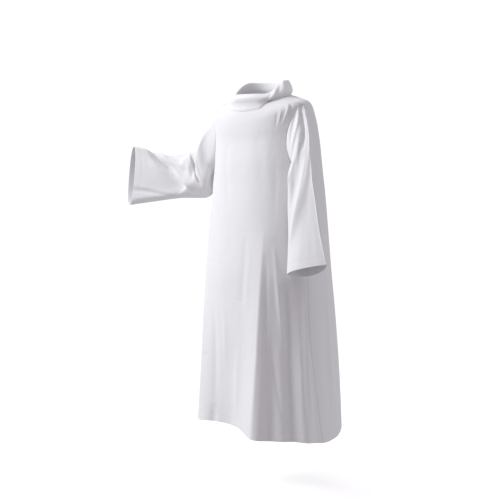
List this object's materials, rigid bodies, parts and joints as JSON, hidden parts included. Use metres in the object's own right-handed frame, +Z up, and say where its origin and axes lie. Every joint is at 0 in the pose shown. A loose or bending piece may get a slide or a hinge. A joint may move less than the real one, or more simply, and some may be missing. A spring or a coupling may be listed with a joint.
{
  "type": "alb robe",
  "caption": "Long white vestment worn as a hollow form: flared front and back, wide set-in sleeves with the right one raised, soft cowl collar high at the back.",
  "frame": {"origin": "inside the neck, at the height where the cloth rests on the wearer's shoulders", "axes": "+Z up, the garment's front faces -Y, +X is the wearer's left"},
  "size_m": [0.9555, 0.4985, 1.3023],
  "materials": {
    "front": "matt white plain-woven polyester with a faint soft sheen",
    "back": "matt white plain-woven polyester with a faint soft sheen",
    "sleeve_left": "matt white plain-woven polyester with a faint soft sheen",
    "sleeve_right": "matt white plain-woven polyester with a faint soft sheen",
    "collar": "matt white plain-woven polyester with a faint soft sheen"
  },
  "bodies": {
    "root": {"front": "front", "back": "back", "sleeve_left": "sleeve_left", "sleeve_right": "sleeve_right", "collar": "collar"}
  },
  "joints": []
}
